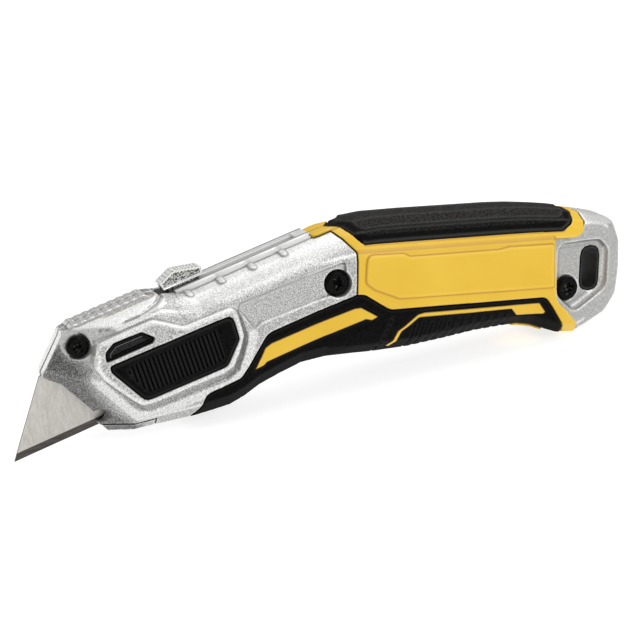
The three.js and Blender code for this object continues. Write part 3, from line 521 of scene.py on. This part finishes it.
# The eye is a round hole low on the front. The screw's seat has its wall drawn in to one radius.
eye_at = Vector((-1.7, 8.6))
eye_radius = 2.4
seat_radius = 3.35
seat_wall = (2.95, 3.6)
seat_ring = (2.95, 3.75)


def finish_holes(vertex, along, rise, marks):
    """Paints shade on the wall of the eye, trues the wall of the screw's seat, and paints a highlight ring
    round the seat.
    """
    if (Vector((along, rise)) - eye_at).length < eye_radius and abs(vertex.normal.y) < 0.8:
        marks["groove"] = 1.0
    away = from_axis(vertex.co, screw_middle)
    radius = away.length / MM
    if seat_wall[0] < radius < seat_wall[1]:
        trued = seat_radius + 0.3 * (radius - seat_radius)
        vertex.co += away * (trued / radius - 1)
    if seat_ring[0] < radius < seat_ring[1]:
        marks["polish_and_highlight"] = 1.0
        marks["bare"] = 0.0


tail_middle = middle_of("tail_screw")
tail_ring = (3.5, 4.2)
for side in ("left", "right"):
    node = f"front_shell_{side}"
    nose = softened(node, f"nose_casting_{side}", nose_lie, grain=0.29, rounding=3, crown=110)
    layers = {"polish_and_highlight": layer_of(nose, "polish_and_highlight"), "groove": layer_of(nose, "groove"), "bare": [], "crown": []}
    for number, vertex in enumerate(nose.data.vertices):
        marks = {"polish_and_highlight": layers["polish_and_highlight"][number], "groove": layers["groove"][number], "crown": 0.0}
        along, rise = nose_place(vertex.co)
        sink_channel(vertex, along, rise, marks)
        shade_front(vertex, along, rise, marks)
        paint_top_light(vertex, along, rise, marks)
        finish_holes(vertex, along, rise, marks)
        layers["polish_and_highlight"][number] = marks["polish_and_highlight"]
        layers["groove"][number] = marks["groove"]
        layers["bare"].append(marks["bare"])
        layers["crown"].append(marks["crown"])
    for layer, values in layers.items():
        lay(nose, layer, values)
    stand_for(nose, node, "knife_body", casting)

    node = f"tail_frame_{side}"
    butt = softened(node, f"butt_casting_{side}", handle_lie, grain=0.29, rounding=9, crown=80)
    # The ring round the tail screw and the slopes that face up get painted highlights, and the painted shade
    # in the hollows is kept faint.
    polish_and_highlight_marks = layer_of(butt, "polish_and_highlight")
    for number, vertex in enumerate(butt.data.vertices):
        radius = from_axis(vertex.co, tail_middle).length / MM
        if tail_ring[0] < radius < tail_ring[1] and abs(vertex.normal.y) > 0.5:
            polish_and_highlight_marks[number] = 1.0
        if abs(vertex.normal.y) < 0.9 and vertex.normal.z - vertex.normal.x > 0.3:
            polish_and_highlight_marks[number] = 0.9
    lay(butt, "polish_and_highlight", polish_and_highlight_marks)
    lay(butt, "groove", [0.35 * mark for mark in layer_of(butt, "groove")])
    lay(butt, "satin", [1.0] * len(polish_and_highlight_marks))
    stand_for(butt, node, "knife_body", casting)


# ---------------------------------------------------------------- slide rails

# The rails are one bright plated strip let into the top of the nose, with a slot for the slider's stem and a
# row of notches for the detent. Across the strip, painted highlights run along the rail edges, with thin
# lines of painted shade beside them and mid grey between.
strip_half = 5 * MM
rail_plate, tree, shader = surface("rail_plate", (0.6, 0.6, 0.59), 0.4, metallic=0.35)
place = tree.nodes.new("ShaderNodeTexCoord")
parts = tree.nodes.new("ShaderNodeSeparateXYZ")
tree.links.new(place.outputs["Object"], parts.inputs["Vector"])
apart = tree.nodes.new("ShaderNodeMath")
apart.operation = "ABSOLUTE"
tree.links.new(parts.outputs["Y"], apart.inputs[0])
across = tree.nodes.new("ShaderNodeMath")
across.operation = "DIVIDE"
across.inputs[1].default_value = strip_half
tree.links.new(apart.outputs["Value"], across.inputs[0])
# Painted highlights along the rail edges, thin painted shade lines beside them and mid grey between, by the
# distance from the middle in shares of half the strip.
rail_light_bands = [
    (0.41, (0.85, 0.85, 0.84)), (0.46, (0.85, 0.85, 0.84)), (0.48, 0.09), (0.54, (0.42, 0.42, 0.41)),
    (0.60, (0.42, 0.42, 0.41)), (0.62, 0.09), (0.65, (0.90, 0.90, 0.89)), (0.73, (0.80, 0.80, 0.79)),
]
tree.links.new(graded(tree, across.outputs["Value"], rail_light_bands), shader.inputs["Base Color"])


sharp_bend = radians(30)
flat_bend = radians(0.5)


def eased(shape, name, edge):
    """An object of a mesh, with its flat faces joined and a small round (mm) along each crease."""
    bmesh.ops.dissolve_limit(shape, angle_limit=flat_bend, verts=shape.verts, edges=shape.edges)
    piece = bpy.data.objects.new(name, bpy.data.meshes.new(name))
    shape.to_mesh(piece.data)
    shape.free()
    bpy.context.collection.objects.link(piece)
    if edge:
        bevel = piece.modifiers.new("edges", "BEVEL")
        bevel.limit_method = "ANGLE"
        bevel.angle_limit = sharp_bend
        bevel.width = edge * MM
        bevel.segments = 2
        settle(piece)
    piece.data.shade_smooth()
    piece.data.set_sharp_from_angle(angle=sharp_bend)
    return piece


rails = eased(merged("slide_track"), "slide_rails", 0.12)
stand_for(rails, "slide_track", "knife_body", rail_plate)


# ---------------------------------------------------------------- thumb slider

# The thumb slider is a plated casting with teeth all along its crown, and a shallow dish in each side whose
# floor is left rough from the die. It sits on the stem, and a low saddle under it runs along the rails.
plate, tree, shader = surface("bright_plate", (0.80, 0.80, 0.78), 0.22, metallic=1.0)
gloss = graded(tree, speckle(tree, 900, detail=3), [(0.35, 0.14), (0.7, 0.28)])
tree.links.new(gloss, shader.inputs["Roughness"])
grain_bump(tree, shader, speckle(tree, 1200), 0.03 * MM, 0.4)

rough_dish, tree, shader = surface("rough_dish", 0.5, 0.35, metallic=1.0)
dish_grain = [(0.40, 0.05), (0.5, (0.26, 0.26, 0.25)), (0.60, (0.75, 0.75, 0.73))]
colour = graded(tree, speckle(tree, 2400, detail=3, rough=0.7), dish_grain)
tree.links.new(colour, shader.inputs["Base Color"])
grain_bump(tree, shader, speckle(tree, 2000, detail=3, rough=0.7), 0.2 * MM, 0.8)


def mottled(name, dark, light, scale, roughness, metallic=0.0, specular=0.5):
    """A material whose colour drifts between a darker and a lighter one."""
    made, tree, shader = surface(name, light, roughness, metallic, specular)
    colour = graded(tree, speckle(tree, scale), [(0.3, dark), (0.7, light)])
    tree.links.new(colour, shader.inputs["Base Color"])
    return made


tooth_side = mottled("tooth_shade", 0.42, (0.62, 0.62, 0.61), 900, 0.4, metallic=0.6)
tooth_crown = mottled("tooth_crown", (0.74, 0.74, 0.72), (0.88, 0.88, 0.86), 900, 0.5, metallic=0.4)
rim_line = mottled("rim_shade", 0.04, 0.09, 900, 0.5)

low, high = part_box("thumb_slider")
ends = [vertex.co.dot(slide_way) for vertex in frame["nodes"]["thumb_slider"].data.vertices]
tops = [vertex.co.dot(up_way) for vertex in frame["nodes"]["thumb_slider"].data.vertices]
front = min(ends)
foot = min(tops)
long = max(ends) - front
tall = max(tops) - foot

# The outline is in shares of the slider's length and height. A tooth stands between the two shares of its
# pitch (mm), and a cut lies between it and the next.
crown_line = [(0.0, 0.56), (0.33, 1.0), (0.44, 1.0), (0.96, 0.62)]
tooth_pitch = 0.95
tooth_cut = 0.07
tooth_flat = (0.2, 0.8)
outline = [(0.03, 0.0)]
for (start, start_rise), (end, end_rise) in zip(crown_line, crown_line[1:]):
    teeth = max(1, round((end - start) * long / (tooth_pitch * MM)))
    for tooth in range(teeth):
        for part, cut in ((0.0, tooth_cut), (tooth_flat[0], 0.0), (tooth_flat[1], 0.0)):
            step = (tooth + part) / teeth
            outline.append((start + (end - start) * step, start_rise + (end_rise - start_rise) * step - cut))
outline += [(1.0, 0.5), (0.97, 0.0)]

shape = bmesh.new()
corners = []
for along, rise in outline:
    place = slide_way * (front + along * long) + up_way * (foot + rise * tall)
    corners.append(shape.verts.new((place.x, low.y, place.z)))
pulled = bmesh.ops.extrude_face_region(shape, geom=[shape.faces.new(corners)])
far_corners = [part for part in pulled["geom"] if isinstance(part, bmesh.types.BMVert)]
bmesh.ops.translate(shape, vec=(0, high.y - low.y, 0), verts=far_corners)
bmesh.ops.recalc_face_normals(shape, faces=shape.faces)

# The dish goes in by these steps, each with its width and its depth (mm).
dish_steps = [(0.3, 0), (0.12, -0.15), (0.26, 0), (0.1, -0.3)]
for flank in [face for face in shape.faces if abs(face.normal.y) > 0.9]:
    for thickness, depth in dish_steps:
        bmesh.ops.inset_region(shape, faces=[flank], thickness=thickness * MM, depth=depth * MM)
saddle_size = Vector((8.0, 3.5, 0.7)) * MM
saddle_drop = 0.27 * MM
saddle_place = slide_way * (front + 0.57 * long) + up_way * (foot - saddle_drop)
saddle = bmesh.ops.create_cube(shape, size=1)["verts"]
bmesh.ops.scale(shape, vec=saddle_size, verts=saddle)
bmesh.ops.rotate(shape, matrix=Matrix.Rotation(-nose_lie, 3, "Y"), verts=saddle)
bmesh.ops.translate(shape, vec=saddle_place, verts=saddle)
slider = eased(shape, "slider_cap", 0.07)
stand_for(slider, "thumb_slider", "slider_button", plate)
# Painted light on the slider: a darker material shades the sides of the teeth, a lighter, less metallic copy
# of the plate brightens their crests as a painted highlight, and a near-black material paints a shadow line
# on the rim's step.
for finish in (rough_dish, tooth_side, tooth_crown, rim_line):
    slider.data.materials.append(finish)
in_dish, on_tooth_side, on_crown, on_rim = 1, 2, 3, 4
flank_from = high.y - 0.2 * MM
rim_from = high.y - 0.14 * MM
rim_to = high.y - 0.08 * MM
for face in slider.data.polygons:
    out = abs(face.center.y)
    sideways = abs(face.normal.y)
    upright = face.normal.dot(up_way)
    if sideways > 0.9 and out < flank_from:
        face.material_index = in_dish
    elif abs(face.normal.dot(slide_way)) > 0.65 and upright > 0.1:
        face.material_index = on_tooth_side
    elif upright > 0.3 and out < flank_from:
        face.material_index = on_crown
    elif rim_from < out < rim_to and sideways > 0.2:
        face.material_index = on_rim


# ---------------------------------------------------------------- blade

# The blade is a hardened steel trapezium, faintly brushed, and ground on both sides of its long edge. All the
# faces round its edges are coloured much darker than its flat sides. The carrier holds it by the notches in
# its back, and three spares lie in the handle.
blade_steel, tree, shader = surface("blade_steel", (0.60, 0.58, 0.54), 0.38, metallic=0.85)
brushing = speckle(tree, 1600, detail=4, rough=0.7, stretch=(1, 1, 0.3))
colour = graded(tree, brushing, [(0.3, (0.45, 0.432, 0.40)), (0.7, (0.61, 0.592, 0.556))])
tree.links.new(colour, shader.inputs["Base Color"])
gloss = graded(tree, speckle(tree, 600, detail=4, stretch=(1, 1, 6)), [(0.3, 0.34), (0.7, 0.5)])
tree.links.new(gloss, shader.inputs["Roughness"])
ground_steel, tree, shader = surface("ground_steel", (0.07, 0.065, 0.06), 0.3, metallic=0.7)
grinding = speckle(tree, 2500, detail=3, stretch=(0.1, 1, 1))
colour = graded(tree, grinding, [(0.3, (0.045, 0.04, 0.036)), (0.7, (0.095, 0.088, 0.08))])
tree.links.new(colour, shader.inputs["Base Color"])
flat_enough = 0.999
blades = [("blade", "trapezium_blade", "blade_carriage")]
blades += [(f"spare_blade_{number}", f"spare_trapezium_{number}", "magazine") for number in (1, 2, 3)]
for node, name, body in blades:
    blade = eased(merged(node), name, 0)
    stand_for(blade, node, body, blade_steel)
    blade.data.materials.append(ground_steel)
    for face in blade.data.polygons:
        if abs(face.normal.y) < flat_enough:
            face.material_index = 1


# ---------------------------------------------------------------- handle shells and accents

# Two yellow moulded shells close round the magazine, and thin yellow plates of the same plastic lie in the
# black lower grip. The magazine's own tab, of the same plastic again, shows in the scoop below the shells.
yellow, tree, shader = surface("yellow_moulding", (0.83, 0.50, 0.05), 0.4, specular=0.4)
colour = graded(tree, speckle(tree, 60), [(0.3, (0.77, 0.475, 0.026)), (0.7, (0.81, 0.52, 0.036))])
# Painted highlights by outer edges, painted shade by inner corners, and painted shade at the seams where
# other parts come near.
colour = washed(tree, colour, "polish_and_highlight", (1.0, 0.72, 0.12), 0.2)
colour = washed(tree, colour, "groove", (0.48, 0.30, 0.06), 1.0, "MULTIPLY")
colour = washed(tree, colour, "joint", (0.06, 0.03, 0.01), 1.0, "MULTIPLY")
tree.links.new(colour, shader.inputs["Base Color"])
grain_bump(tree, shader, speckle(tree, 2200), 0.03 * MM, 0.25)
for side in ("left", "right"):
    node = f"handle_shell_{side}"
    shell = softened(node, f"yellow_shell_{side}", handle_lie, grain=0.3, rounding=2, crown=20)
    stand_for(shell, node, "knife_body", yellow)
    for end in ("front", "rear"):
        node = f"{end}_accent_{side}"
        strip = softened(node, f"yellow_{node}", nose_lie, grain=0.2, rounding=1, crown=6)
        stand_for(strip, node, "knife_body", yellow)
tab = softened("magazine_tab", "yellow_magazine_tab", handle_lie, grain=0.25, rounding=2, crown=8)
stand_for(tab, "magazine_tab", "magazine", yellow)


# ---------------------------------------------------------------- rubber grips

# Soft black rubber is moulded over the top and the belly of the handle, and a ribbed insert sits in each side
# of the nose. The raised middle of the top grip has a coarser skin, which catches the light.
rubber, tree, shader = surface("black_rubber", 0.004, 0.5, specular=0.03)
fine_skin = speckle(tree, 2600, detail=3)
coarse_skin = speckle(tree, 2600, detail=3, rough=0.7)
colour = graded(tree, fine_skin, [(0.35, 0.001), (0.65, 0.007)])
coarse = graded(tree, coarse_skin, [(0.42, 0.004), (0.6, (0.05, 0.048, 0.044))])
colour = washed(tree, colour, "raised", coarse)
# Painted grey highlights by outer edges, and painted shade by inner corners.
colour = washed(tree, colour, "polish_and_highlight", (0.06, 0.06, 0.058), 0.6)
colour = washed(tree, colour, "groove", 0.3, 0.9, "MULTIPLY")
tree.links.new(colour, shader.inputs["Base Color"])
grain_bump(tree, shader, speckle(tree, 2200), 0.12 * MM, 0.5)

raised_from = (2.45, 2.65)
pad = softened("top_grip", "top_pad", handle_lie, grain=0.3, rounding=2, crown=30)
below = nearby("top_grip")
gaps = [below.find_nearest(vertex.co, 5 * MM)[3] for vertex in pad.data.vertices]
lay(pad, "raised", [1.0 if gap is None else ramp(gap / MM, *raised_from) for gap in gaps])
stand_for(pad, "top_grip", "knife_body", rubber)

# The belly is hollowed round the magazine's hinge, so that the corners of the tray turn clear of the rubber.
hinge = middle_of("magazine_hinge_pin")
hinge_room = 3.35
hinge_half = 4.7
hinge_wall = 0.5
hinge_slack = 0.01
for side in ("left", "right"):
    node = f"lower_grip_{side}"
    belly = softened(node, f"belly_grip_{side}", nose_lie, grain=0.3, rounding=2, crown=30)
    lay(belly, "polish_and_highlight", [0.25 * mark for mark in layer_of(belly, "polish_and_highlight")])
    for vertex in belly.data.vertices:
        away = from_axis(vertex.co, hinge)
        out = abs(vertex.co.y) / MM
        if away.length < hinge_room * MM and out < hinge_half - hinge_slack:
            vertex.co += away * (hinge_room * MM / away.length - 1)
            if out > hinge_half - hinge_wall:
                vertex.co.y *= hinge_half / out
    stand_for(belly, node, "knife_body", rubber)
    node = f"side_grip_{side}"
    insert = softened(node, f"ribbed_insert_{side}", nose_lie, grain=0.16, rounding=1, crown=4)
    lay(insert, "polish_and_highlight", [0.35 * mark for mark in layer_of(insert, "polish_and_highlight")])
    stand_for(insert, node, "knife_body", rubber)


# ---------------------------------------------------------------- screws

# Three button-headed screws of blackened steel, driven in from the left, hold the halves together. Each head
# has a six-lobed socket, whose dull black walls carry painted glints.
black_steel, tree, shader = surface("black_oxide", 0.002, 0.35, specular=0.08)
gloss = graded(tree, speckle(tree, 900, detail=3), [(0.3, 0.2), (0.7, 0.36)])
tree.links.new(gloss, shader.inputs["Roughness"])
recess_glints, tree, shader = surface("recess_glints", 0.002, 0.5, specular=0.05)
# Painted glints: grey specks on the socket's black walls.
colour = graded(tree, speckle(tree, 1100, detail=3), [(0.5, 0.001), (0.62, (0.12, 0.12, 0.115))])
tree.links.new(colour, shader.inputs["Base Color"])
socket_radius = 1.9 * MM
socket_mouth = 2.3 * MM
socket_depth = 1.75 * MM
socket_lip = 0.15 * MM
socket_growth = 0.25
for name in ("nose_screw", "middle_screw", "tail_screw"):
    shape = merged(name)
    axis = middle_of(name)
    head_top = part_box(name)[0].y
    for corner in shape.verts:
        apart = from_axis(corner.co, axis)
        if apart.length < socket_radius and corner.co.y < head_top + socket_depth:
            corner.co += apart * socket_growth
    screw = eased(shape, f"black_{name}", 0.12)
    stand_for(screw, name, "knife_body", black_steel)
    screw.data.materials.append(recess_glints)
    for face in screw.data.polygons:
        inside = head_top + socket_lip < face.center.y < head_top + socket_depth
        if inside and from_axis(face.center, axis).length < socket_mouth:
            face.material_index = 1


# ---------------------------------------------------------------- release button

# The release button is a black moulding on a coil spring, in a window of the left casting. Its face has a
# sunk, grained panel with a painted grey highlight on its upper rim, and the face above the panel stands as a
# sloping band.
black_moulding, tree, shader = surface("black_moulding", 0.003, 0.3, specular=0.1)
grain_bump(tree, shader, speckle(tree, 1500), 0.03 * MM, 0.3)
# A grey material for the painted highlight on the panel's upper rim.
rim_highlight = mottled("rim_highlight", 0.12, 0.22, 1500, 0.3)
grained_panel, tree, shader = surface("grained_panel", 0.015, 0.5, specular=0.1)
colour = graded(tree, speckle(tree, 2600, detail=3), [(0.38, 0.004), (0.62, (0.035, 0.035, 0.034))])
tree.links.new(colour, shader.inputs["Base Color"])

on_upper_rim, on_panel = 1, 2
panel_shift = (slide_way * 0.35 - up_way * 0.3) * MM
rim_side = up_way - slide_way * 0.3
shape = merged("release_button")
bmesh.ops.dissolve_limit(shape, angle_limit=flat_bend, verts=shape.verts, edges=shape.edges)
panel = max((face for face in shape.faces if face.normal.y < -0.95), key=lambda face: face.calc_area())
bmesh.ops.inset_region(shape, faces=[panel], thickness=0.4 * MM, depth=0)
bmesh.ops.translate(shape, vec=panel_shift, verts=panel.verts)
rim = bmesh.ops.inset_region(shape, faces=[panel], thickness=0.13 * MM, depth=-0.05 * MM)["faces"]
# The upper faces of the rim get the grey painted highlight.
for face in rim:
    if (face.calc_center_median() - panel.calc_center_median()).dot(rim_side) > 0:
        face.material_index = on_upper_rim
bmesh.ops.inset_region(shape, faces=[panel], thickness=0.16 * MM, depth=-0.4 * MM)
panel.material_index = on_panel
button = eased(shape, "release_cap", 0.1)
indices = [face.material_index for face in button.data.polygons]
stand_for(button, "release_button", "release", black_moulding)
button.data.materials.append(rim_highlight)
button.data.materials.append(grained_panel)
button.data.polygons.foreach_set("material_index", indices)


# ---------------------------------------------------------------- inner parts

# The slider's stem, the carrier, the magazine tray and the liner of the lanyard slot are black mouldings. The
# blade catch and the two springs are spring steel, and so is the pin that the magazine turns on.
liner_black = mottled("liner_black", 0.016, (0.036, 0.036, 0.034), 1500, 0.5, specular=0.15)
spring_steel, tree, shader = surface("spring_steel", (0.45, 0.45, 0.44), 0.3, metallic=1.0)
gloss = graded(tree, speckle(tree, 700, detail=3), [(0.3, 0.25), (0.7, 0.38)])
tree.links.new(gloss, shader.inputs["Roughness"])
inner_finishes = [
    (black_moulding, ("slider_stem", "blade_carrier", "magazine_tray")),
    (liner_black, ("tail_liner",)),
    (spring_steel, ("blade_catch", "detent_spring", "release_spring", "magazine_hinge_pin")),
]
for finish, nodes in inner_finishes:
    for node in nodes:
        frame["nodes"][node].data.materials.clear()
        frame["nodes"][node].data.materials.append(finish)
